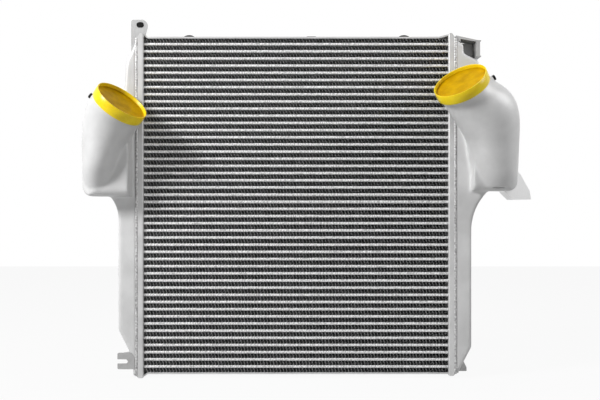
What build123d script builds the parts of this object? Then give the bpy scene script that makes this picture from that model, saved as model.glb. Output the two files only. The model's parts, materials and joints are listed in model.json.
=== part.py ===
from build123d import *
import os

os.makedirs("parts", exist_ok=True)

# Axes: +X to the right seen from the front, +Y away from the viewer, +Z up.
# The origin is in the middle of the core's underside. Every size is in millimetres.
# What stands on the left is made on the right and mirrored, so its places count outwards.

# Core: flat charge air tubes stacked with rows of corrugated fin between two side plates
tube_count = 46
tube_height = 6.9
tube_wall = 0.8
tube_stub = 4.0
core_depth = 62.0
fin_height = 10.3
fin_sheet = 0.6
fin_legs = 12
fin_end_gap = 6.0
turbulator_legs = 4
turbulator_sheet = 0.5
turbulator_play = 0.3
turbulator_setback = 6.0
side_plate = 4.0

# Header pans: slotted trays at both ends of the core
pan_face = 365.0
pan_gauge = 3.0
pan_reach = 17.0
pan_depth = 74.0
pan_rise = 8.0
left_pan_drop = 9.0
right_pan_drop = 3.5
pan_bend = 4.0
pan_cut_out = 8.0
pan_cut_up = 12.0
pan_toe_cut = 5.0

# Side plate ends, bent away from the core to meet the pans
left_ramp = 10.0
right_ramp = 22.0
ramp_lift = 6.0

# Tank castings, both. Their widths count outwards from the rims of the pans.
casting_wall = 5.0
toe_reach = 9.0
tank_edge_bevel = 4.0

# Elbow roots, both: the boxes that open out of the tanks
root_outer_round = 31.0
root_top_round = 45.0
root_front_round = 20.0
root_back_round = 30.0
root_corner_round = 50.0

# Left tank. A tail point is (out from the rim, height), a head point (out, drop from the top).
left_width = 44.0
left_toe_top = 40.0
left_bend = (19.0, 56.5)
left_slope_top = 106.5
left_head = [(34.0, 185.5), (29.0, 108.5), (26.5, 65.5), (23.5, 50.5)]
left_shoulder_drop = 22.5
left_flare = 20.0
left_flare_drop = 55.0

# Left elbow. A point is (out from the rim, depth, height above the root's underside).
left_root_bottom = 426.0
left_root_height = 154.0
left_root_inner = 10.5
left_root_outer = 127.5
left_root_step = 55.0
left_port_point = (20.5, -112.0, 223.5)
left_port_way = (-0.575, -0.33, 0.749)
left_ovals = [
    ((60.0, -82.0, 162.5), 22.0, 16.0, 60.0, 60.0),
    ((76.5, -72.0, 99.0), 11.0, 8.0, 45.5, 60.0),
    ((82.0, -60.0, 50.0), 0.0, 0.0, 40.0, 54.0),
    ((84.0, -52.0, 14.0), 0.0, 0.0, 30.0, 36.0),
]

# Right tank
right_width = 39.0
right_toe_top = 8.0
right_slope_top = 65.0
right_head = [(56.0, 185.5), (56.0, 53.5), (20.0, 35.5), (20.0, 15.5)]
right_flare = 40.0
right_flare_drop = 95.0

# Right elbow
right_root_bottom = 439.0
right_root_height = 121.0
right_root_inner = 38.0
right_root_outer = 150.5
right_root_step = 38.0
right_port_point = (-3.0, -118.0, 255.8)
right_port_way = (-0.46, -0.45, 0.765)
right_ovals = [
    ((36.0, -93.0, 217.0), 26.0, 24.0, 69.0, 61.0),
    ((71.0, -79.0, 173.0), 27.0, 18.0, 72.0, 62.0),
    ((87.0, -57.0, 115.0), 13.0, 8.0, 61.5, 63.0),
    ((92.0, -41.0, 51.0), 0.0, 0.0, 55.5, 63.0),
    ((96.0, -34.0, 8.0), 0.0, 0.0, 43.0, 47.0),
]

# Port necks and dust caps
neck_radius = 60.5
neck_length = 14.0
bead_rise = 1.7
bead_length = 6.0
cap_wall = 2.5
cap_play = 0.3
cap_recess = 10.0
cap_disc = 3.0
cap_skirt = 5.0

# Boss and plug beside each neck
boss_radius = 8.0
boss_sink = 4.5
boss_setback = 40.0
left_boss_rise = 5.5
right_boss_rise = 12.5
plug_radius = 6.5
plug_height = 4.5

# Upper left lug, from the rim and from the pan's top
lug_gauge = 6.0
lug_back = 26.0
lug_outer = 22.0
lug_inner = 18.0
lug_heel = 11.0
lug_rise = 42.0
lug_waist_rise = 24.5
lug_drop = 47.5
lug_hole_rise = 29.5
lug_hole_length = 18.0
lug_hole_width = 13.5
lug_corner = 6.0
lug_ear = 14.0
bush_play = 0.15
bush_stand = 1.0

# Lower left fork, from the rim and from its own foot
fork_gauge = 6.0
fork_length = 45.5
fork_foot = 12.5
fork_height = 39.0
fork_slot_width = 10.6
fork_slot_rise = 18.5
fork_slot_depth = 24.5
fork_corner = 3.0
fork_shelf_depth = 35.0
fork_shelf_setback = 7.5

# Upper right bracket, from the rim and from the tank's top
flange_inner = 49.6
flange_gauge = 9.2
flange_drop = 5.0
flange_height = 39.5
flange_back = 22.0
flange_lip = 2.5
flange_lip_gauge = 2.5
flange_bolt_radius = 5.0
flange_bolt_rise = 23.5
flange_bolt_place = -8.0
shelf_start = 2.5
shelf_rise = 12.0
shelf_heel = 10.0
shelf_gauge = 4.0
shelf_setback = 5.0

# Lower right stay, from the rim
stay_gauge = 5.0
stay_back = 22.0
stay_top = 70.0
stay_shoulder = (22.0, 36.0)
stay_width = 35.5
stay_toe_level = 8.0
stay_foot = -1.0

# Wing bracket, from the right root's outer wall and underside
wing_gauge = 4.0
wing_setback = 4.0
wing_fold_high = (-32.5, -0.5)
wing_fold_low = (-12.0, -21.0)
wing_tip_low = (31.0, -20.0)
wing_tip_high = (28.0, 0.5)
wing_shoulder = (6.5, 39.0)
wing_rise = 51.0

# Rubber bumpers and pad on the core's top, and weld beads
bumper_length = 32.0
bumper_height = 6.5
bumper_depth = 30.0
left_bumper = -258.0
right_bumper = 261.0
middle_pad = 37.0
middle_pad_length = 22.0
middle_pad_height = 3.5
middle_pad_round = 1.0
weld_width = 6.0
weld_height = 1.8

# Sizes that follow from those above
tube_pitch = tube_height + fin_height
core_height = tube_count * tube_height + (tube_count + 1) * fin_height + 2 * side_plate
first_tube = side_plate + fin_height + tube_height / 2
tube_levels = [first_tube + index * tube_pitch for index in range(tube_count)]
fin_levels = [first_tube + (index - 0.5) * tube_pitch for index in range(tube_count + 1)]
fin_length = 2 * (pan_face - fin_end_gap)
tube_half_length = pan_face + pan_gauge + tube_stub
half_core = core_depth / 2
half_pan = pan_depth / 2
rim = pan_face + pan_reach
toe = rim + toe_reach
pan_top = core_height + pan_rise
tank_top = pan_top - pan_cut_up
left_foot = pan_toe_cut - left_pan_drop
right_foot = pan_toe_cut - right_pan_drop
pipe_end = cap_recess + cap_disc
bead_radius = neck_radius + bead_rise
wing_side = rim + right_root_outer


def from_root(point, root_bottom):
    """A point given from the pan's rim and the root's underside, in the core's own frame."""
    out, depth, rise = point
    return (rim + out, depth, root_bottom + rise)


left_port = from_root(left_port_point, left_root_bottom)
right_port = from_root(right_port_point, right_root_bottom)


def save(piece, name):
    piece.part.label = name
    export_step(piece.part, "parts/" + name + ".step")


def zigzag(legs, length, height, sheet):
    """Outline of a corrugated strip whose crests are exactly height apart."""
    crest = (height - sheet) / 2
    steps = [(index * length / legs - length / 2, crest * (-1) ** index) for index in range(legs + 1)]
    upper = [(place, level + sheet / 2) for place, level in steps]
    lower = [(place, level - sheet / 2) for place, level in reversed(steps)]
    return upper + lower


# Ports. Each is given by the middle of its cap's rim and the way it points.

def port_plane(port, way, depth):
    """Plane square to a port, depth below its cap's rim, its x axis level with Y."""
    direction = Vector(*way).normalized()
    outward = Vector(0, 1, 0).cross(direction)
    return Plane(origin=Vector(*port) - direction * depth, x_dir=outward, z_dir=direction)


def port_section(port, way):
    """Plane through a port's axis: x is the radius, y the height above the rim."""
    square = port_plane(port, way, 0)
    return Plane(origin=square.origin, x_dir=square.x_dir, z_dir=square.x_dir.cross(square.z_dir))


def boss_plane(port, way, radius):
    """Plane for the boss on the outer side of a neck, at a radius from the port's axis."""
    square = port_plane(port, way, boss_setback)
    return Plane(origin=square.origin + square.x_dir * radius, z_dir=square.x_dir)


def oval_plane(place, tilt, lean):
    """Plane of one oval of an elbow, tilted inwards and leant to the front in degrees."""
    return Plane(origin=place).rotated((lean, -tilt, 0))


# Tank castings. A tank is a flat box with sloping ends. The elbow's root stands on it as
# a deeper box, and the neck runs from the root up to the port.

def tank_face(foot, tail, head, width, flare, flare_drop, root_bottom):
    """Front view of a tank as a face, with its open side one wall inside the rim."""
    open_side = rim - casting_wall
    lower = [(rim + out, level) for out, level in tail]
    upper = [(rim + out, tank_top - drop) for out, drop in head]
    flare_start = (rim + width, root_bottom - flare_drop)
    flare_end = (rim + width + flare, root_bottom)
    with BuildSketch() as face:
        with BuildLine():
            Polyline((open_side, tank_top), (open_side, foot), (toe, foot), *lower, flare_start)
            TangentArc(flare_start, flare_end, tangent=(0, 1))
            Polyline(flare_end, *upper, (rim, tank_top), (open_side, tank_top))
        make_face()
    return face.sketch


def root_box(inner, outer, step, bottom, height, inset):
    """The elbow's root: its plan extruded upwards, cut to its rounded front and side views."""
    front = half_pan + step
    middle_x = rim + (inner + outer) / 2
    middle_y = (half_pan - front) / 2
    middle_z = bottom + height / 2
    inset_width = outer - inner - 2 * inset
    inset_depth = half_pan + front - 2 * inset
    inset_height = height - 2 * inset
    with BuildPart() as box:
        with BuildSketch(Plane.XY.offset(bottom + inset)):
            with Locations((middle_x, middle_y)):
                Rectangle(inset_width, inset_depth)
            outer_corners = vertices().group_by(Axis.X)[-1].sort_by(Axis.Y)
            fillet(outer_corners[0], root_corner_round - inset)
            fillet(outer_corners[-1], root_back_round - inset)
        extrude(amount=inset_height)
        with BuildSketch(Plane.XZ):
            with Locations((middle_x, middle_z)):
                Rectangle(inset_width, inset_height)
            fillet(vertices().group_by(Axis.X)[-1], root_outer_round - inset)
        extrude(amount=2 * front, both=True, mode=Mode.INTERSECT)
        with BuildSketch(Plane.YZ):
            with Locations((middle_y, middle_z)):
                Rectangle(inset_depth, inset_height)
            fillet(vertices().group_by(Axis.Y)[0].sort_by(Axis.X)[0], root_front_round - inset)
            fillet(vertices().group_by(Axis.Y)[-1], root_top_round - inset)
        extrude(amount=rim + outer, mode=Mode.INTERSECT)
    return box.part


def neck_pipe(port, way, ovals, root_bottom, inset):
    """The neck: a round stub at the port, then a loft through ovals down into the root."""
    with BuildPart() as pipe:
        with BuildSketch(port_plane(port, way, pipe_end + neck_length)):
            Circle(neck_radius - inset)
        extrude(amount=neck_length + inset)
        with BuildSketch(port_plane(port, way, pipe_end + neck_length)):
            Circle(neck_radius - inset)
        for point, tilt, lean, half_width, half_depth in ovals:
            with BuildSketch(oval_plane(from_root(point, root_bottom), tilt, lean)):
                Ellipse(half_width - inset, half_depth - inset)
        loft()
    return pipe.part


def filled_casting(face, root, pipe, port, way, boss_rise):
    """A tank casting before it is hollowed."""
    with BuildPart() as casting:
        with BuildSketch(Plane.XZ):
            add(face)
            with Locations((rim, core_height / 2)):
                Rectangle(2 * casting_wall, 2 * core_height, align=(Align.MAX, Align.CENTER),
                          mode=Mode.SUBTRACT)
        extrude(amount=half_pan, both=True)
        rim_face = faces().sort_by(Axis.X)[0]
        flanks = edges().filter_by(lambda edge: abs(abs(edge.center().Y) - half_pan) < 0.01)
        chamfer(flanks.filter_by(lambda edge: edge not in rim_face.edges()), tank_edge_bevel)
        add(root)
        add(pipe)
        with BuildSketch(port_plane(port, way, pipe_end + bead_length)):
            Circle(bead_radius)
        extrude(amount=bead_length)
        with BuildSketch(boss_plane(port, way, neck_radius - boss_sink)):
            Circle(boss_radius)
        extrude(amount=boss_sink + boss_rise)
    return casting.part


def cavity(face, root, pipe):
    """The air space of a tank casting, open at the rim and at the port."""
    with BuildPart() as space:
        with BuildSketch(Plane.XZ):
            add(face)
            offset(amount=-casting_wall, kind=Kind.INTERSECTION, mode=Mode.REPLACE)
        extrude(amount=half_pan - casting_wall, both=True)
        add(root)
        add(pipe)
    return space.part


left_tail = [(toe_reach, left_toe_top), left_bend, (left_width, left_slope_top)]
left_face = tank_face(left_foot, left_tail, left_head + [(toe_reach, left_shoulder_drop)],
                      left_width, left_flare, left_flare_drop, left_root_bottom)
left_root = (left_root_inner, left_root_outer, left_root_step, left_root_bottom, left_root_height)
left_neck = (left_port, left_port_way, left_ovals, left_root_bottom)
left_filled = filled_casting(left_face, root_box(*left_root, 0), neck_pipe(*left_neck, 0),
                             left_port, left_port_way, left_boss_rise)
left_space = cavity(left_face, root_box(*left_root, casting_wall), neck_pipe(*left_neck, casting_wall))

right_tail = [(toe_reach, right_toe_top), (right_width, right_slope_top)]
right_face = tank_face(right_foot, right_tail, right_head,
                       right_width, right_flare, right_flare_drop, right_root_bottom)
right_root = (right_root_inner, right_root_outer, right_root_step, right_root_bottom,
              right_root_height)
right_neck = (right_port, right_port_way, right_ovals, right_root_bottom)
right_filled = filled_casting(right_face, root_box(*right_root, 0), neck_pipe(*right_neck, 0),
                              right_port, right_port_way, right_boss_rise)
right_space = cavity(right_face, root_box(*right_root, casting_wall),
                     neck_pipe(*right_neck, casting_wall))

with BuildPart() as left_tank:
    add(left_filled)
    add(left_space, mode=Mode.SUBTRACT)
    mirror(about=Plane.YZ, mode=Mode.REPLACE)
save(left_tank, "left_tank_casting")

with BuildPart() as right_tank:
    add(right_filled)
    add(right_space, mode=Mode.SUBTRACT)
save(right_tank, "right_tank_casting")


# Header pans. Each is a tray, its floor slotted for the tubes, its open side to the tank.

def pan_outline(drop):
    """Front view of a pan, its outer corners cut back."""
    low = -drop
    with BuildSketch() as outline:
        with BuildLine():
            Polyline((pan_face, low), (rim - pan_toe_cut, low), (rim, low + pan_toe_cut),
                     (rim, tank_top), (rim - pan_cut_out, pan_top), (pan_face, pan_top), close=True)
        make_face()
    return outline.sketch


def header_pan(drop, slotted):
    outline = pan_outline(drop)
    with BuildPart() as pan:
        with BuildSketch(Plane.XZ):
            add(outline)
        extrude(amount=half_pan, both=True)
        fillet(faces().sort_by(Axis.X)[0].edges(), pan_bend)
        if slotted:
            with BuildSketch(Plane.XZ):
                add(outline)
                offset(amount=-pan_gauge, kind=Kind.INTERSECTION, mode=Mode.REPLACE)
                low = pan_toe_cut - drop + pan_gauge
                high = tank_top - pan_gauge
                with Locations((rim, (low + high) / 2)):
                    Rectangle(2 * pan_gauge, high - low, align=(Align.MAX, Align.CENTER))
            extrude(amount=half_pan - pan_gauge, both=True, mode=Mode.SUBTRACT)
            with BuildSketch(Plane.YZ.offset(pan_face)):
                with Locations(*[(0, level) for level in tube_levels]):
                    Rectangle(core_depth, tube_height)
            extrude(amount=pan_gauge, mode=Mode.SUBTRACT)
    return pan.part


left_pan_block = header_pan(left_pan_drop, False)
right_pan_block = header_pan(right_pan_drop, False)

with BuildPart() as left_pan:
    add(header_pan(left_pan_drop, True))
    mirror(about=Plane.YZ, mode=Mode.REPLACE)
save(left_pan, "left_header_pan")

with BuildPart() as right_pan:
    add(header_pan(right_pan_drop, True))
save(right_pan, "right_header_pan")

# Core: tubes, the corrugated strips inside them, and the fin rows between them
with BuildPart() as tubes:
    with BuildSketch(Plane.YZ):
        with Locations(*[(0, level) for level in tube_levels]):
            Rectangle(core_depth, tube_height)
            Rectangle(core_depth - 2 * tube_wall, tube_height - 2 * tube_wall, mode=Mode.SUBTRACT)
    extrude(amount=tube_half_length, both=True)
save(tubes, "charge_air_tubes")

turbulator_width = core_depth - 2 * tube_wall - 2 * turbulator_play
turbulator_height = tube_height - 2 * tube_wall
with BuildPart() as turbulators:
    with BuildSketch(Plane.YZ):
        with Locations(*[(0, level) for level in tube_levels]):
            Polygon(*zigzag(turbulator_legs, turbulator_width, turbulator_height, turbulator_sheet),
                    align=None)
    extrude(amount=tube_half_length - turbulator_setback, both=True)
save(turbulators, "tube_turbulators")

with BuildPart() as fins:
    with BuildSketch(Plane.XZ):
        with Locations(*[(0, level) for level in fin_levels]):
            Polygon(*zigzag(fin_legs, fin_length, fin_height, fin_sheet), align=None)
    extrude(amount=half_core, both=True)
save(fins, "cooling_fins")


# Side plates, each bent at its ends to meet the pans

def plate_outline(level, left_lift, right_lift):
    """Front view of a side plate: its underside from left to right, then its top back."""
    under = [(-pan_face, level + left_lift), (left_ramp - pan_face, level),
             (pan_face - right_ramp, level), (pan_face, level + right_lift)]
    return under + [(place, height + side_plate) for place, height in reversed(under)]


with BuildPart() as upper_plate:
    with BuildSketch(Plane.XZ):
        Polygon(*plate_outline(core_height - side_plate, ramp_lift, ramp_lift), align=None)
    extrude(amount=half_core, both=True)
save(upper_plate, "upper_side_plate")

with BuildPart() as lower_plate:
    with BuildSketch(Plane.XZ):
        Polygon(*plate_outline(0, -ramp_lift, 0), align=None)
    extrude(amount=half_core, both=True)
save(lower_plate, "lower_side_plate")


# Dust caps: a collar that grips the bead, closed by a disc below its rim

def dust_cap(port, way):
    inside = bead_radius + cap_play
    outside = inside + cap_wall
    skirt = pipe_end + bead_length + cap_skirt
    with BuildPart() as cap:
        with BuildSketch(port_section(port, way)):
            with BuildLine():
                Polyline((0, -cap_recess), (inside, -cap_recess), (inside, 0), (outside, 0),
                         (outside, -skirt), (inside, -skirt), (inside, -pipe_end),
                         (0, -pipe_end), close=True)
            make_face()
        revolve(axis=Axis(port, way))
    return cap.part


with BuildPart() as left_cap:
    add(dust_cap(left_port, left_port_way))
    mirror(about=Plane.YZ, mode=Mode.REPLACE)
save(left_cap, "left_port_cap")

with BuildPart() as right_cap:
    add(dust_cap(right_port, right_port_way))
save(right_cap, "right_port_cap")

# Hexagonal plugs in the bosses beside the necks
with BuildPart() as left_plug:
    with BuildSketch(boss_plane(left_port, left_port_way, neck_radius + left_boss_rise)):
        RegularPolygon(plug_radius, 6)
    extrude(amount=plug_height)
    mirror(about=Plane.YZ, mode=Mode.REPLACE)
save(left_plug, "left_boss_plug")

with BuildPart() as right_plug:
    with BuildSketch(boss_plane(right_port, right_port_way, neck_radius + right_boss_rise)):
        RegularPolygon(plug_radius, 6)
    extrude(amount=plug_height)
save(right_plug, "right_boss_plug")


# Weld beads along the front and back seams between pans and tanks

def weld_bead(foot):
    with BuildPart() as bead:
        with BuildSketch(Plane.XY.offset(foot)):
            with BuildLine():
                Line((rim - weld_width / 2, half_pan), (rim + weld_width / 2, half_pan))
                ThreePointArc((rim + weld_width / 2, half_pan), (rim, half_pan + weld_height),
                              (rim - weld_width / 2, half_pan))
            make_face()
            mirror(about=Plane.XZ)
        extrude(amount=tank_top - foot)
    return bead.part


with BuildPart() as left_weld:
    add(weld_bead(left_foot))
    mirror(about=Plane.YZ, mode=Mode.REPLACE)
save(left_weld, "left_seam_weld")

with BuildPart() as right_weld:
    add(weld_bead(right_foot))
save(right_weld, "right_seam_weld")

# Upper left lug: a plate standing behind the tank's sloping top, with a bushed hole
lug_hole = (rim, pan_top + lug_hole_rise)
with BuildPart() as lug:
    with BuildSketch(Plane.XZ.offset(-lug_back)):
        Polygon((rim + lug_outer, pan_top - lug_drop), (rim + lug_outer, pan_top + lug_rise),
                (rim - lug_inner, pan_top + lug_rise), (rim - lug_inner, pan_top + lug_waist_rise),
                (rim - lug_heel, pan_top), (rim - lug_heel, pan_top - lug_drop), align=None)
        fillet(vertices().group_by(Axis.Y)[-1].sort_by(Axis.X)[-1], lug_corner)
        fillet(vertices().group_by(Axis.Y)[-1].sort_by(Axis.X)[0], lug_ear)
        with Locations(lug_hole):
            SlotOverall(lug_hole_length, lug_hole_width, mode=Mode.SUBTRACT)
    extrude(amount=lug_gauge)
    add(left_filled, mode=Mode.SUBTRACT)
    add(left_pan_block, mode=Mode.SUBTRACT)
    mirror(about=Plane.YZ, mode=Mode.REPLACE)
save(lug, "upper_left_lug")

with BuildPart() as bush:
    with BuildSketch(Plane.XZ.offset(-lug_back - bush_stand)):
        with Locations(lug_hole):
            SlotOverall(lug_hole_length - 2 * bush_play, lug_hole_width - 2 * bush_play)
    extrude(amount=lug_gauge + 2 * bush_stand)
    mirror(about=Plane.YZ, mode=Mode.REPLACE)
save(bush, "lug_rubber_bush")

# Lower left fork: a plate with an open slot, stiffened by a three-cornered shelf
fork_reach = rim + fork_length
fork_top = fork_foot + fork_height
with BuildPart() as fork:
    with BuildSketch(Plane.XZ.offset(half_pan)):
        Polygon((rim, fork_foot), (fork_reach, fork_foot), (fork_reach, fork_top), (rim, fork_top),
                align=None)
        fillet(vertices().group_by(Axis.X)[-1], fork_corner)
        with Locations((fork_reach, fork_foot + fork_slot_rise)):
            SlotOverall(2 * fork_slot_depth, fork_slot_width, mode=Mode.SUBTRACT)
    extrude(amount=-fork_gauge)
    with BuildSketch(Plane.XY.offset(fork_top)):
        Polygon((rim, -half_pan), (fork_reach - fork_shelf_setback, -half_pan),
                (toe, fork_shelf_depth - half_pan), (rim, fork_shelf_depth - half_pan), align=None)
    extrude(amount=-fork_gauge)
    add(left_filled, mode=Mode.SUBTRACT)
    add(left_pan_block, mode=Mode.SUBTRACT)
    mirror(about=Plane.YZ, mode=Mode.REPLACE)
save(fork, "lower_left_fork")

# Upper right bracket: a shelf from the tank's top, an outer flange with a bolt hole and
# turned lips, and a web behind that joins them
flange_near = rim + flange_inner
flange_far = flange_near + flange_gauge
flange_top = tank_top - flange_drop
flange_foot = flange_top - flange_height
shelf_near = rim + shelf_start
shelf_foot = tank_top - shelf_heel
with BuildPart() as bracket:
    with BuildSketch(Plane.XZ.offset(-flange_back)):
        with Locations(((flange_near + flange_far) / 2, (flange_foot + flange_top) / 2)):
            Rectangle(flange_gauge, flange_height)
        with Locations((flange_far, flange_top)):
            Rectangle(flange_lip, flange_lip_gauge, align=(Align.MIN, Align.MAX))
        with Locations((flange_far, flange_foot)):
            Rectangle(flange_lip, flange_lip_gauge, align=(Align.MIN, Align.MIN))
    extrude(amount=flange_back + half_pan)
    with BuildSketch(Plane.XZ.offset(-flange_back)):
        Polygon((shelf_near, shelf_foot), (shelf_near, flange_top + shelf_rise), (flange_far, flange_top),
                (flange_far, flange_top - shelf_gauge),
                (shelf_near + shelf_heel, flange_top + shelf_rise - 2 * shelf_gauge),
                (shelf_near + shelf_heel, shelf_foot), align=None)
    extrude(amount=flange_back + half_pan - shelf_setback)
    with BuildSketch(Plane.XZ.offset(-flange_back)):
        Polygon((shelf_near, flange_foot), (flange_near, flange_foot), (flange_near, flange_top),
                (shelf_near, flange_top), align=None)
    extrude(amount=shelf_gauge)
    with BuildSketch(Plane.YZ.offset(flange_far)):
        with Locations((flange_bolt_place, flange_foot + flange_bolt_rise)):
            Circle(flange_bolt_radius)
    extrude(amount=-flange_gauge, mode=Mode.SUBTRACT)
    add(right_filled, mode=Mode.SUBTRACT)
    add(right_pan_block, mode=Mode.SUBTRACT)
save(bracket, "upper_right_bracket")

# Lower right stay: a flat cornered plate behind the tank's sloping foot
with BuildPart() as stay:
    with BuildSketch(Plane.XZ.offset(-stay_back)):
        Polygon((rim, stay_top), (rim + stay_shoulder[0], stay_shoulder[1]),
                (rim + stay_width, stay_toe_level), (rim + stay_width, stay_foot), (rim, stay_foot),
                align=None)
    extrude(amount=stay_gauge)
    add(right_filled, mode=Mode.SUBTRACT)
    add(right_pan_block, mode=Mode.SUBTRACT)
save(stay, "lower_right_stay")

# Wing bracket on the right elbow: a cornered plate and the flange folded back from it
wing_front = half_pan - wing_setback
fold_high = (wing_side + wing_fold_high[0], right_root_bottom + wing_fold_high[1])
fold_low = (wing_side + wing_fold_low[0], right_root_bottom + wing_fold_low[1])
wing_rim = [(wing_side + out, right_root_bottom + rise)
            for out, rise in (wing_tip_low, wing_tip_high, wing_shoulder)]
with BuildPart() as wing:
    with BuildSketch(Plane.XZ.offset(wing_front)):
        Polygon(fold_high, fold_low, *wing_rim,
                (wing_side - casting_wall, right_root_bottom + wing_rise),
                (fold_high[0], right_root_bottom + wing_rise), align=None)
    extrude(amount=-wing_gauge)
    with BuildSketch(Plane.XZ.offset(wing_front)):
        Polygon(fold_high, fold_low, (fold_low[0] + wing_gauge, fold_low[1]),
                (fold_high[0] + wing_gauge, fold_high[1]), align=None)
    extrude(amount=-wing_front - half_pan)
    add(right_filled, mode=Mode.SUBTRACT)
save(wing, "right_elbow_wing")


# Rubber bumpers and the pad along the top of the core

def bumper(place):
    half = bumper_length / 2
    with BuildPart() as dome:
        with BuildSketch(Plane.XZ):
            with BuildLine():
                Line((place + half, core_height), (place - half, core_height))
                ThreePointArc((place - half, core_height), (place, core_height + bumper_height),
                              (place + half, core_height))
            make_face()
        extrude(amount=bumper_depth / 2, both=True)
    return dome


save(bumper(left_bumper), "upper_left_bumper")
save(bumper(right_bumper), "upper_right_bumper")

with BuildPart() as pad:
    with BuildSketch(Plane.XZ):
        with Locations((middle_pad, core_height)):
            Rectangle(middle_pad_length, middle_pad_height, align=(Align.CENTER, Align.MIN))
        fillet(vertices().group_by(Axis.Y)[-1], middle_pad_round)
    extrude(amount=bumper_depth / 2, both=True)
save(pad, "upper_middle_pad")
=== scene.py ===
import json
import math
import bmesh
import bpy
from mathutils import Matrix, Vector


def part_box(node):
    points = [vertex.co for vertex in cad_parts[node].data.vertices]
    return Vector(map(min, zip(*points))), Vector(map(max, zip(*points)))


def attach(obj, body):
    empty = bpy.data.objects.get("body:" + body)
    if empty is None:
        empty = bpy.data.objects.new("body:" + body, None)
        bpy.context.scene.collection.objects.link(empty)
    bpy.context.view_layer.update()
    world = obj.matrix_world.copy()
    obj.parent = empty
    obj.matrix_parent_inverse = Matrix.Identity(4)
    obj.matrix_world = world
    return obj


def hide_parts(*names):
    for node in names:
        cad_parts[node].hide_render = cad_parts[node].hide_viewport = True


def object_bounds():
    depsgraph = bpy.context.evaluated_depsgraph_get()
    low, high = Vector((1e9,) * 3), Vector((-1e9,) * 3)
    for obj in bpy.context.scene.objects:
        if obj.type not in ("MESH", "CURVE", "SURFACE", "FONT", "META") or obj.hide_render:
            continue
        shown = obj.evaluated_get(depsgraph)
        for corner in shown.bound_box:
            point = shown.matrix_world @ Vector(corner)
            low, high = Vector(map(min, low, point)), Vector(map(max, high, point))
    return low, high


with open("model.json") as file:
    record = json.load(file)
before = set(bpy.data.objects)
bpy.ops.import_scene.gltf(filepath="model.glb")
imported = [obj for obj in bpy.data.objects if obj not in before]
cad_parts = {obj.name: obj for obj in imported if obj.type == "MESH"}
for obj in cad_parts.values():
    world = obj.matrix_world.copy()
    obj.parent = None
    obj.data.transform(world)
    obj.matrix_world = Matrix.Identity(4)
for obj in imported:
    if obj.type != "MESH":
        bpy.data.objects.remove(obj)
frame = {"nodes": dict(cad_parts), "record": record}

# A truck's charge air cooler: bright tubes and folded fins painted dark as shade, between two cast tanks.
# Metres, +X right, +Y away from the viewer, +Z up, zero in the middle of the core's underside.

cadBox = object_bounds()
mm = 0.001
mounts = {mount["name"]: mount for mount in frame["record"]["mounts"]}


# Nodes, and sums made with them

class Wire:
    # a shader socket that takes part in Python arithmetic
    def __init__(self, board, socket):
        self.board = board
        self.socket = socket

    def reckon(self, operation, first, second):
        return self.board.add("ShaderNodeMath", {"operation": operation}, {0: first, 1: second})

    def __add__(self, other):
        return self.reckon("ADD", self, other)

    def __radd__(self, other):
        return self.reckon("ADD", other, self)

    def __sub__(self, other):
        return self.reckon("SUBTRACT", self, other)

    def __rsub__(self, other):
        return self.reckon("SUBTRACT", other, self)

    def __mul__(self, other):
        return self.reckon("MULTIPLY", self, other)

    def __rmul__(self, other):
        return self.reckon("MULTIPLY", other, self)


class Board:
    # the nodes of a material or of the world
    def __init__(self, tree):
        self.tree = tree

    def feed(self, socket, value):
        if isinstance(value, Wire):
            self.tree.links.new(value.socket, socket)
        else:
            socket.default_value = value

    def add(self, kind, settings, sockets, output=0):
        node = self.tree.nodes.new(kind)
        for name, value in settings.items():
            setattr(node, name, value)
        for name, value in sockets.items():
            self.feed(node.inputs[name], value)
        return Wire(self, node.outputs[output])

    def seenRay(self):
        # 1 for rays from the camera and for mirror and clear rays, else 0
        rays = [self.add("ShaderNodeLightPath", {}, {}, kind)
                for kind in ("Is Camera Ray", "Is Glossy Ray", "Is Transmission Ray")]
        total = rays[0]
        for ray in rays[1:]:
            total = self.add("ShaderNodeMath", {"operation": "MAXIMUM"}, {0: total, 1: ray})
        return total

    def finishWith(self, outputNode, mask, first, second):
        # show the first shader where the mask is 0 and the second where it is 1
        mix = self.add("ShaderNodeMixShader", {}, {0: mask, 1: first, 2: second})
        self.feed(self.tree.nodes[outputNode].inputs["Surface"], mix)


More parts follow.
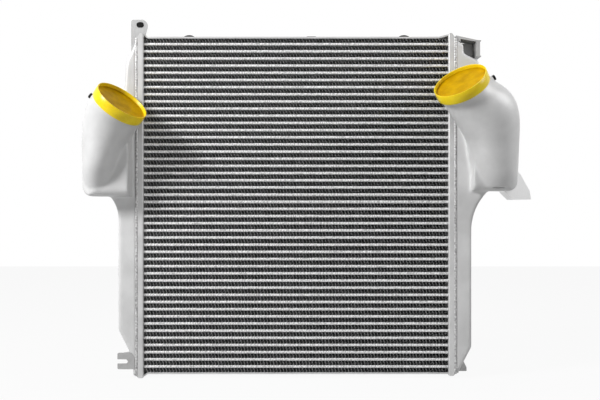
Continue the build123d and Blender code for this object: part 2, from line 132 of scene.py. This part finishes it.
class Finish(Board):
    # a material under construction
    def __init__(self, name):
        self.material = bpy.data.materials.new(name)
        self.material.use_nodes = True
        super().__init__(self.material.node_tree)
        self.shader = self.tree.nodes["Principled BSDF"]
        self.place = self.add("ShaderNodeTexCoord", {}, {}, "Object")

    def noise(self, size, detail=2.0, stretch=(1, 1, 1), roughness=0.5):
        # cloudy pattern whose blotches are about size metres across, longer along stretched axes
        scale = [1 / (size * longer) for longer in stretch]
        placed = self.add("ShaderNodeMapping", {}, {"Vector": self.place, "Scale": scale})
        return self.add("ShaderNodeTexNoise", {},
                        {"Vector": placed, "Scale": 1.0, "Detail": detail, "Roughness": roughness})

    def band(self, pattern, limits):
        # 0 where the pattern is at the first limit, 1 where it is at the second
        start, end = limits
        return self.add("ShaderNodeMapRange", {}, {"Value": pattern, "From Min": start, "From Max": end})

    def clouds(self, size, limits, detail=3.0):
        return self.band(self.noise(size, detail), limits)

    def along(self, axis):
        return self.add("ShaderNodeSeparateXYZ", {}, {0: self.place}, axis)

    def distance(self, axis):
        # distance from the middle of the core along one axis
        return self.add("ShaderNodeMath", {"operation": "ABSOLUTE"}, {0: self.along(axis)})

    def blend(self, mask, first, second):
        return self.add("ShaderNodeMix", {"data_type": "RGBA"}, {0: mask, 6: first, 7: second}, 2)

    def greys(self, mask, dark, light):
        return self.blend(mask, grey(dark), grey(light))

    def grain(self, height, depth):
        self.feed(self.shader.inputs["Normal"],
                  self.add("ShaderNodeBump", {}, {"Height": height, "Distance": depth, "Strength": 1.0}))

    def fill(self, **sockets):
        for name, value in sockets.items():
            self.feed(self.shader.inputs[name.replace("_", " ")], value)

    def cover(self, look, colour, pattern):
        # the look's metal and roughness under a colour, rougher where the pattern is high
        self.fill(Base_Color=colour, Roughness=look["rough"] + pattern * look["roughSpread"],
                  Metallic=look["metal"])


def grey(level):
    return (level, level, level, 1.0)


def shared(first, second, share):
    # two patterns added up, the first counting for share of the whole
    return first * share + second * (1 - share)


# Finishes

castLook = {"dark": 0.54, "light": 0.68, "metal": 0.12, "rough": 0.40, "roughSpread": 0.12,
            "cloudSize": 60 * mm, "cloudLimits": (0.35, 0.65), "cloudShare": 0.6,
            "grainSize": 1.3 * mm, "grainRoughness": 0.65, "grainDepth": 0.12 * mm}


def castAluminium():
    finish = Finish("castAluminium")
    cloud = finish.clouds(castLook["cloudSize"], castLook["cloudLimits"])
    speck = finish.noise(castLook["grainSize"], detail=3.0, roughness=castLook["grainRoughness"])
    tone = shared(cloud, speck, castLook["cloudShare"])
    finish.cover(castLook, finish.greys(tone, castLook["dark"], castLook["light"]), speck)
    finish.grain(speck, castLook["grainDepth"])
    return finish.material


# the wing's near-white greys are painted light: the same sheet, painted as bright as its lit front face
sheetLook = {"plateGreys": (0.46, 0.64), "bracketGreys": (0.34, 0.48), "wingPaintedLightGreys": (0.88, 0.96),
             "metal": 0.45, "rough": 0.38, "roughSpread": 0.16,
             "cloudSize": 45 * mm, "cloudLimits": (0.35, 0.65), "cloudShare": 0.5,
             "grainSize": 1.2 * mm, "grainLength": 40.0, "grainDepth": 0.05 * mm,
             # the near-black grey is painted shade on the pans' inner faces by the core
             "soot": 0.03, "sootAndShadeLimits": (361.9 * mm, 361.2 * mm)}


def sheetAluminium(name, along, greys, shadedTowardCore=False):
    # rolled sheet, its faint grain running along one axis; a sheet shaded toward the core is painted
    # black there, painted shade in the crevice at the fins' ends
    finish = Finish(name)
    stretch = [sheetLook["grainLength"] if axis == along else 1.0 for axis in "XYZ"]
    grain = finish.noise(sheetLook["grainSize"], stretch=stretch)
    cloud = finish.clouds(sheetLook["cloudSize"], sheetLook["cloudLimits"])
    colour = finish.greys(shared(cloud, grain, sheetLook["cloudShare"]), *greys)
    if shadedTowardCore:
        # painted shade: black where the pan faces the crevice at the core's ends
        soot = finish.band(finish.distance("X"), sheetLook["sootAndShadeLimits"])
        colour = finish.blend(soot, colour, grey(sheetLook["soot"]))
    finish.cover(sheetLook, colour, grain)
    finish.grain(grain, sheetLook["grainDepth"])
    return finish.material


tubeLook = {"dark": 0.38, "light": 0.88, "metal": 0.5, "rough": 0.40, "roughSpread": 0.15,
            "stainSize": 2.6 * mm, "stainStretch": (1, 3, 2), "stainLimits": (0.38, 0.60),
            "stainShare": 0.8, "grainSize": 1.5 * mm, "grainStretch": (30, 1, 1), "grainDepth": 0.04 * mm}


def tubeAluminium():
    # brazed tubes, mottled where the fins are joined on
    finish = Finish("tubeAluminium")
    grain = finish.noise(tubeLook["grainSize"], stretch=tubeLook["grainStretch"])
    stain = finish.band(finish.noise(tubeLook["stainSize"], detail=1.0, stretch=tubeLook["stainStretch"]),
                        tubeLook["stainLimits"])
    tone = shared(stain, grain, tubeLook["stainShare"])
    finish.cover(tubeLook, finish.greys(tone, tubeLook["dark"], tubeLook["light"]), grain)
    finish.grain(grain, tubeLook["grainDepth"])
    return finish.material


finShape = {"rows": 47, "tubePitch": 17.2 * mm, "height": 10.3 * mm, "firstRow": 9.15 * mm,
            "pitch": 7.8 * mm, "crest": 0.7 * mm, "sheet": 0.7 * mm, "halfLength": 360 * mm,
            "pieces": 3, "creaseDegrees": 20, "leadFolds": 1.5, "spareFolds": 2,
            "depths": (-31 * mm, -22 * mm, 0, 22 * mm, 31 * mm),
            "sways": (4.0 * mm, 8.0 * mm, 0, 8.0 * mm, 4.0 * mm)}


def firstFold():
    # where the first fold starts at the faces, outside the row so that its end is cut square
    return -finShape["halfLength"] - finShape["leadFolds"] * finShape["pitch"] + finShape["sways"][0]


# deep is painted shade inside the core; the edge greys are painted highlight and shade at the fins' cut
# edges
finLook = {"deep": 0.012, "paintedEdgeShade": 0.04, "paintedEdgeHighlight": 0.95, "edgeLimits": (29.4 * mm, 30.9 * mm),
           "metal": 0.2, "rough": 0.5, "roughSpread": 0.1,
           "legLimits": (0.0, 0.4), "legShare": 0.65,
           "fleckSize": 3.4 * mm, "fleckStretch": (1, 1, 2.5), "fleckLimits": (0.40, 0.60),
           "fleckShare": 0.25, "cloudSize": 30 * mm, "cloudLimits": (0.3, 0.7), "cloudShare": 0.1}


def finAluminium():
    # painted highlight at the cut edges of every other leg and painted shade on the legs between, with
    # random flecks; painted black shade deeper in
    finish = Finish("finAluminium")
    cloud = finish.clouds(finLook["cloudSize"], finLook["cloudLimits"])
    fleck = finish.band(finish.noise(finLook["fleckSize"], detail=1.0, stretch=finLook["fleckStretch"]),
                        finLook["fleckLimits"])
    pitch = finShape["pitch"]
    # painted light: every other leg is painted bright, as if lit, and the legs between dark
    paintedBrightLeg = firstFold() + (finShape["crest"] + pitch / 2) / 2
    turn = (finish.along("X") - paintedBrightLeg) * (2 * math.pi / pitch)
    paintedLegLight = finish.band(finish.add("ShaderNodeMath", {"operation": "COSINE"}, {0: turn}),
                      finLook["legLimits"])
    tone = paintedLegLight * finLook["legShare"] + fleck * finLook["fleckShare"] + cloud * finLook["cloudShare"]
    edge = finish.greys(tone, finLook["paintedEdgeShade"], finLook["paintedEdgeHighlight"])
    # painted shade: all but the fins' front edge is painted near black
    paintedLightNearFace = finish.band(finish.distance("Y"), finLook["edgeLimits"])
    finish.cover(finLook, finish.blend(paintedLightNearFace, grey(finLook["deep"]), edge), fleck)
    return finish.material


weldLook = {"dark": 0.20, "light": 0.66, "metal": 0.5, "rough": 0.36, "roughSpread": 0.15,
            "sootSize": 4 * mm, "sootAndShadeLimits": (0.3, 0.7), "grainSize": 0.8 * mm, "grainDepth": 0.05 * mm}


def weldAluminium():
    finish = Finish("weldAluminium")
    soot = finish.clouds(weldLook["sootSize"], weldLook["sootAndShadeLimits"])
    finish.cover(weldLook, finish.greys(soot, weldLook["dark"], weldLook["light"]), soot)
    finish.grain(finish.noise(weldLook["grainSize"]), weldLook["grainDepth"])
    return finish.material


# the disc colours are painted shade: the collar's yellow plastic painted darker inside the sunk recess
capLook = {"collarDeep": (0.82, 0.58, 0.006, 1), "collarBright": (0.92, 0.70, 0.012, 1),
           "discShadedDeep": (0.42, 0.23, 0.001, 1), "discShadedBright": (0.60, 0.35, 0.002, 1),
           "collarGloss": 0.3, "discGloss": 0.02, "metal": 0.0, "rough": 0.22, "roughSpread": 0.12,
           "cloudSize": 25 * mm, "cloudLimits": (0.3, 0.7), "scuffSize": 1.0 * mm,
           "scuffDepth": 0.03 * mm, "milkiness": 0.15, "lightReach": (8 * mm, 5 * mm, 1 * mm)}


def yellowPlastic(name, deep, bright, gloss):
    # soft moulded polyethylene
    finish = Finish(name)
    cloud = finish.clouds(capLook["cloudSize"], capLook["cloudLimits"])
    scuff = finish.noise(capLook["scuffSize"], detail=3.0)
    finish.cover(capLook, finish.blend(cloud, capLook[deep], capLook[bright]), scuff)
    finish.fill(Specular_IOR_Level=capLook[gloss], Subsurface_Weight=capLook["milkiness"],
                Subsurface_Radius=capLook["lightReach"], Subsurface_Scale=1.0)
    finish.grain(scuff, capLook["scuffDepth"])
    return finish.material


blackLook = {"clean": (0.003, 0.003, 0.003, 1), "dusty": (0.010, 0.010, 0.009, 1), "metal": 0.0,
             "plugRough": 0.42, "rubberRough": 0.62, "roughSpread": 0.15, "gloss": 0.15,
             "dustSize": 3 * mm, "dustLimits": (0.35, 0.7), "grainSize": 0.6 * mm,
             "grainDepth": 0.04 * mm}


def blackMoulding(name, rough):
    finish = Finish(name)
    dust = finish.clouds(blackLook["dustSize"], blackLook["dustLimits"], detail=4.0)
    look = {**blackLook, "rough": blackLook[rough]}
    finish.cover(look, finish.blend(dust, blackLook["clean"], blackLook["dusty"]), dust)
    finish.fill(Specular_IOR_Level=blackLook["gloss"])
    finish.grain(finish.noise(blackLook["grainSize"]), blackLook["grainDepth"])
    return finish.material


finishes = {
    "cast": castAluminium(),
    "pan": sheetAluminium("panAluminium", "Z", sheetLook["plateGreys"], shadedTowardCore=True),
    "sidePlate": sheetAluminium("plateAluminium", "X", sheetLook["plateGreys"]),
    "bracket": sheetAluminium("bracketAluminium", "Z", sheetLook["bracketGreys"]),
    # painted light: the wing is the plates' sheet painted near white
    "wing": sheetAluminium("wingAluminiumPaintedLight", "Z", sheetLook["wingPaintedLightGreys"]),
    "tube": tubeAluminium(),
    "fin": finAluminium(),
    "weld": weldAluminium(),
    "collar": yellowPlastic("yellowPlastic", "collarDeep", "collarBright", "collarGloss"),
    # painted shade: the disc is the collar's plastic painted darker
    "disc": yellowPlastic("amberPlasticPaintedShade", "discShadedDeep", "discShadedBright", "discGloss"),
    "plug": blackMoulding("blackPlastic", "plugRough"),
    "rubber": blackMoulding("blackRubber", "rubberRough"),
}
print("finishes made")


# Making pieces

joining = {"gap": 0.001 * mm, "flatDegrees": 0.5}


def addPiece(name, bm, finish, nodes, creaseDegrees=32):
    bmesh.ops.recalc_face_normals(bm, faces=bm.faces)
    mesh = bpy.data.meshes.new(name)
    bm.to_mesh(mesh)
    bm.free()
    mesh.shade_smooth()
    mesh.set_sharp_from_angle(angle=math.radians(creaseDegrees))
    mesh.materials.append(finish)
    piece = bpy.data.objects.new(name, mesh)
    bpy.context.scene.collection.objects.link(piece)
    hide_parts(*nodes)
    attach(piece, "root")


def joinedCopy(node):
    # a CAD node's loose triangles as one joined mesh
    bm = bmesh.new()
    bm.from_mesh(frame["nodes"][node].data)
    bmesh.ops.remove_doubles(bm, verts=bm.verts, dist=joining["gap"])
    return bm


def flatFacedCopy(node):
    # the joined mesh with each flat face in one piece
    bm = joinedCopy(node)
    bmesh.ops.dissolve_limit(bm, angle_limit=math.radians(joining["flatDegrees"]), verts=bm.verts,
                             edges=bm.edges)
    return bm


def unitGrid(bm, columns, steps):
    # a flat grid from 0 to 1 along X and Y, to be bent into shape
    verts = bmesh.ops.create_grid(bm, x_segments=columns, y_segments=steps, size=0.5)["verts"]
    bmesh.ops.translate(bm, vec=(0.5, 0.5, 0), verts=verts)
    return verts


def facesOf(verts):
    return list({face for vert in verts for face in vert.link_faces})


# Tank castings: the CAD form with the soft blends that a sand mould gives

castingShape = {"voxel": 3.0 * mm, "softness": 0.5, "passes": 9, "creaseDegrees": 60}


def softCasting(node, name):
    bm = joinedCopy(node)
    blankMesh = bpy.data.meshes.new(name + "Blank")
    bm.to_mesh(blankMesh)
    bm.free()
    blank = bpy.data.objects.new(name + "Blank", blankMesh)
    bpy.context.scene.collection.objects.link(blank)
    skin = blank.modifiers.new("skin", "REMESH")
    skin.mode = "VOXEL"
    skin.voxel_size = castingShape["voxel"]
    soft = blank.modifiers.new("soft", "SMOOTH")
    soft.factor = castingShape["softness"]
    soft.iterations = castingShape["passes"]
    graph = bpy.context.evaluated_depsgraph_get()
    shaped = bpy.data.meshes.new_from_object(blank.evaluated_get(graph))
    bm = bmesh.new()
    bm.from_mesh(shaped)
    bpy.data.objects.remove(blank)
    for spare in (blankMesh, shaped):
        bpy.data.meshes.remove(spare)
    addPiece(name, bm, finishes["cast"], [node], castingShape["creaseDegrees"])


softCasting("left_tank_casting", "leftTank")
softCasting("right_tank_casting", "rightTank")
print("tanks made")


# Core: tubes with rounded noses

tubeShape = {"nose": 2.2 * mm, "noseSteps": 3, "longEdge": 500 * mm, "faceMargin": 0.01 * mm,
             "creaseDegrees": 40}


def roundedTubes():
    bm = flatFacedCopy("charge_air_tubes")
    low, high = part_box("charge_air_tubes")
    noseEdges = []
    for edge in bm.edges:
        start, end = (vert.co for vert in edge.verts)
        faceDistance = min(abs(start.y - low.y), abs(start.y - high.y))
        if abs(start.x - end.x) > tubeShape["longEdge"] and faceDistance < tubeShape["faceMargin"]:
            noseEdges.append(edge)
    bmesh.ops.bevel(bm, geom=noseEdges, offset=tubeShape["nose"], segments=tubeShape["noseSteps"],
                    profile=0.5, affect="EDGES", material=-1)
    addPiece("chargeAirTubes", bm, finishes["tube"], ["charge_air_tubes"],
             tubeShape["creaseDegrees"])


roundedTubes()
print("tubes made")


# Fins: folded sheet, fold by fold. The folds also run in a shallow zigzag from front to back,
# so that no light comes straight through.

def finRow(bm, level):
    end, pitch, crest = finShape["halfLength"], finShape["pitch"], finShape["crest"]
    depths, sways = finShape["depths"], finShape["sways"]
    rise = (finShape["height"] - finShape["sheet"]) / 2
    corners = [(0, rise), (crest, rise), (pitch / 2, -rise), (pitch / 2 + crest, -rise)]
    folds = math.ceil(2 * end / pitch) + finShape["spareFolds"]
    columns = len(corners) * folds
    steps = len(depths) - 1
    verts = unitGrid(bm, columns, steps)
    for vert in verts:
        fold, corner = divmod(round(vert.co.x * columns), len(corners))
        step = round(vert.co.y * steps)
        onward, side = corners[corner]
        along = firstFold() + fold * pitch + onward + sways[step] - sways[0]
        vert.co = (min(max(along, -end), end), depths[step], level + side)
    bmesh.ops.solidify(bm, geom=facesOf(verts), thickness=finShape["sheet"])


def foldedFins():
    rowsEach = math.ceil(finShape["rows"] / finShape["pieces"])
    for part in range(finShape["pieces"]):
        bm = bmesh.new()
        first = part * rowsEach
        for row in range(first, min(first + rowsEach, finShape["rows"])):
            finRow(bm, finShape["firstRow"] + row * finShape["tubePitch"])
        addPiece(f"coolingFins{part + 1}", bm, finishes["fin"], ["cooling_fins"],
                 finShape["creaseDegrees"])


foldedFins()
print("fins made")


# Weld beads down the seams between pans and tanks, laid in overlapping ripples

beadShape = {"width": 6.0 * mm, "height": 1.8 * mm, "ripple": 6.0 * mm, "bow": 0.3, "across": 8,
             "perRipple": 5, "valley": 0.45, "ridge": 0.5, "shell": 0.6 * mm,
             "creaseDegrees": 50}


def weldBead(bm, low, high, middle, face, outward):
    # a bead from low to high at x = middle, standing out from y = face
    length = high - low
    steps = round(length / beadShape["ripple"] * beadShape["perRipple"])
    verts = unitGrid(bm, beadShape["across"], steps)
    for vert in verts:
        across = 2 * vert.co.x - 1
        along = vert.co.y * length
        phase = (along / beadShape["ripple"] + beadShape["bow"] * across ** 2) % 1
        ripple = math.sqrt(max(1 - (2 * phase - 1) ** 2, 0))
        dome = math.sqrt(max(1 - across ** 2, 0))
        rise = beadShape["height"] * dome * (beadShape["valley"] + beadShape["ridge"] * ripple)
        vert.co = (middle + across * beadShape["width"] / 2, face + outward * rise, low + along)
    faces = facesOf(verts)
    bmesh.ops.recalc_face_normals(bm, faces=faces)
    bmesh.ops.solidify(bm, geom=faces, thickness=beadShape["shell"])


def weldSeam(node, name):
    low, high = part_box(node)
    middle = (low.x + high.x) / 2
    bm = bmesh.new()
    weldBead(bm, low.z, high.z, middle, low.y + beadShape["height"], -1)
    weldBead(bm, low.z, high.z, middle, high.y - beadShape["height"], 1)
    addPiece(name, bm, finishes["weld"], [node], beadShape["creaseDegrees"])


weldSeam("left_seam_weld", "leftSeamWeld")
weldSeam("right_seam_weld", "rightSeamWeld")
print("welds made")


# Dust caps, spun about each port's axis: a collar, and a sunk disc that closes it

capShape = {"radius": 65.0 * mm, "wall": 2.5 * mm, "rimAbove": 13.0 * mm, "height": 24.0 * mm,
            "lip": 0.9 * mm, "lipSlope": (0.4, 0.2), "lipCrown": 0.6,  # shares of the lip
            "footBend": 2.0 * mm, "recess": 10.0 * mm, "disc": 3.0 * mm,
            "hollow": ((2, 0), (1, 0.2), (0.4, 1), (0, 1)),  # inward and up, in foot bends
            "steps": 96, "creaseDegrees": 40, "gap": 0.01 * mm}


def spunPiece(profile, place, name, finish, node):
    # a profile of (radius, level) turned about the Z axis, then set at its place; one that starts
    # away from the axis is closed to a ring
    bm = bmesh.new()
    verts = [bm.verts.new((radius, 0, level)) for radius, level in profile]
    edges = [bm.edges.new(pair) for pair in zip(verts, verts[1:])]
    if profile[0][0] > 0:
        edges.append(bm.edges.new((verts[-1], verts[0])))
    bmesh.ops.spin(bm, geom=verts + edges, cent=(0, 0, 0), axis=(0, 0, 1), angle=2 * math.pi,
                   steps=capShape["steps"], use_merge=True)
    bmesh.ops.remove_doubles(bm, verts=bm.verts, dist=capShape["gap"])
    bmesh.ops.transform(bm, matrix=place, verts=bm.verts)
    addPiece(name, bm, finishes[finish], [node], capShape["creaseDegrees"])


def dustCap(mountName, node, name):
    mount = mounts[mountName]
    axis = Vector(mount["axis"]).normalized()
    turn = axis.to_track_quat("Z", "Y").to_matrix().to_4x4()
    place = Matrix.Translation(Vector(mount["pos_m"]) + axis * capShape["rimAbove"]) @ turn
    outer, lip, bend = capShape["radius"], capShape["lip"], capShape["footBend"]
    inner = outer - capShape["wall"]
    slopeIn, slopeDown = capShape["lipSlope"]
    foot = -capShape["height"]
    collar = [(inner, foot), (inner, -lip), (inner + lip * slopeIn, -lip * slopeDown),
              (outer - lip * capShape["lipCrown"], 0), (outer, -lip), (outer, foot + bend),
              (outer - lip, foot)]
    top = -capShape["recess"]
    under = top - capShape["disc"]
    hollow = [(inner - bend * inward, top + bend * up) for inward, up in capShape["hollow"]]
    disc = [(0, top), *hollow, (inner, under), (0, under)]
    spunPiece(collar, place, name + "Collar", "collar", node)
    spunPiece(disc, place, name + "Disc", "disc", node)


dustCap("left_air_port", "left_port_cap", "leftDustCap")
dustCap("right_air_port", "right_port_cap", "rightDustCap")
print("caps made")


# Pieces whose CAD form is right: the same form, joined and smoothed

def smoothedNodes(nodes, finish):
    for node in nodes:
        words = node.split("_")
        name = words[0] + "".join(word.capitalize() for word in words[1:])
        addPiece(name, flatFacedCopy(node), finishes[finish], [node])


smoothedNodes(["left_header_pan", "right_header_pan"], "pan")
smoothedNodes(["upper_side_plate", "lower_side_plate"], "sidePlate")
smoothedNodes(["upper_left_lug", "lower_left_fork", "upper_right_bracket", "lower_right_stay"],
              "bracket")
smoothedNodes(["right_elbow_wing"], "wing")
smoothedNodes(["tube_turbulators"], "fin")
smoothedNodes(["left_boss_plug", "right_boss_plug"], "plug")
smoothedNodes(["lug_rubber_bush", "upper_left_bumper", "upper_right_bumper", "upper_middle_pad"],
              "rubber")
print("brackets and small pieces made")


# Floor, light and camera

studio = {"background": 1.0, "worldLight": 0.04, "aim": (0.0, 0.0, 0.42),
          "floorHalf": 4.0, "floorDrop": 0.2 * mm, "floorGrey": 0.45, "floorRough": 0.9,
          "floorPale": 0.93}  # how near to plain white the camera sees the floor


def makeWorld():
    world = bpy.data.worlds.new("studio")
    world.use_nodes = True
    bpy.context.scene.world = world
    board = Board(world.node_tree)
    board.tree.nodes.remove(board.tree.nodes["Background"])
    lit = board.add("ShaderNodeBackground", {}, {"Color": grey(1.0), "Strength": studio["worldLight"]})
    seen = board.add("ShaderNodeBackground", {}, {"Color": grey(1.0), "Strength": studio["background"]})
    board.finishWith("World Output", board.seenRay(), lit, seen)


def makeFloor():
    bm = bmesh.new()
    bmesh.ops.create_grid(bm, x_segments=1, y_segments=1, size=studio["floorHalf"])
    bmesh.ops.translate(bm, vec=(0, 0, cadBox[0][2] - studio["floorDrop"]), verts=bm.verts)
    mesh = bpy.data.meshes.new("floor")
    bm.to_mesh(mesh)
    bm.free()
    floor = bpy.data.objects.new("floor", mesh)
    bpy.context.scene.collection.objects.link(floor)
    finish = Finish("paleFloor")
    finish.fill(Base_Color=grey(studio["floorGrey"]), Roughness=studio["floorRough"])
    matt = Wire(finish, finish.shader.outputs[0])
    white = finish.add("ShaderNodeEmission", {}, {"Color": grey(1.0)})
    finish.finishWith("Material Output", finish.seenRay() * studio["floorPale"], matt, white)
    mesh.materials.append(finish.material)


lamps = {"key": {"place": (-2.4, -1.6, 2.0), "size": 0.8, "power": 120.0},
         "fill": {"place": (1.35, -0.4, 1.15), "size": 0.6, "power": 8.0},
         "top": {"place": (0.2, 0.2, 2.6), "size": 1.6, "power": 22.0}}


def addLamp(name, settings):
    lamp = bpy.data.lights.new(name, "AREA")
    lamp.size = settings["size"]
    lamp.energy = settings["power"]
    holder = bpy.data.objects.new(name, lamp)
    holder.location = settings["place"]
    aim = Vector(studio["aim"]) - Vector(settings["place"])
    holder.rotation_euler = aim.to_track_quat("-Z", "Y").to_euler()
    bpy.context.scene.collection.objects.link(holder)


view = {"place": (0.0, -2.431, 0.4177), "lens": 60.0, "sensor": 36.0, "pixelsRight": 4,
        "imagePixels": 600}


def addCamera():
    # level, looking along +Y, with the picture slid sideways to the photo's framing
    camera = bpy.data.cameras.new("camera")
    camera.lens = view["lens"]
    camera.sensor_width = view["sensor"]
    camera.shift_x = view["pixelsRight"] / view["imagePixels"]
    holder = bpy.data.objects.new("camera", camera)
    holder.location = view["place"]
    holder.rotation_euler = (math.radians(90), 0, 0)
    bpy.context.scene.collection.objects.link(holder)
    bpy.context.scene.camera = holder


makeWorld()
makeFloor()
for lampName, lampSettings in lamps.items():
    addLamp(lampName, lampSettings)
addCamera()
bpy.context.scene.view_settings.view_transform = "Standard"
print("studio made")
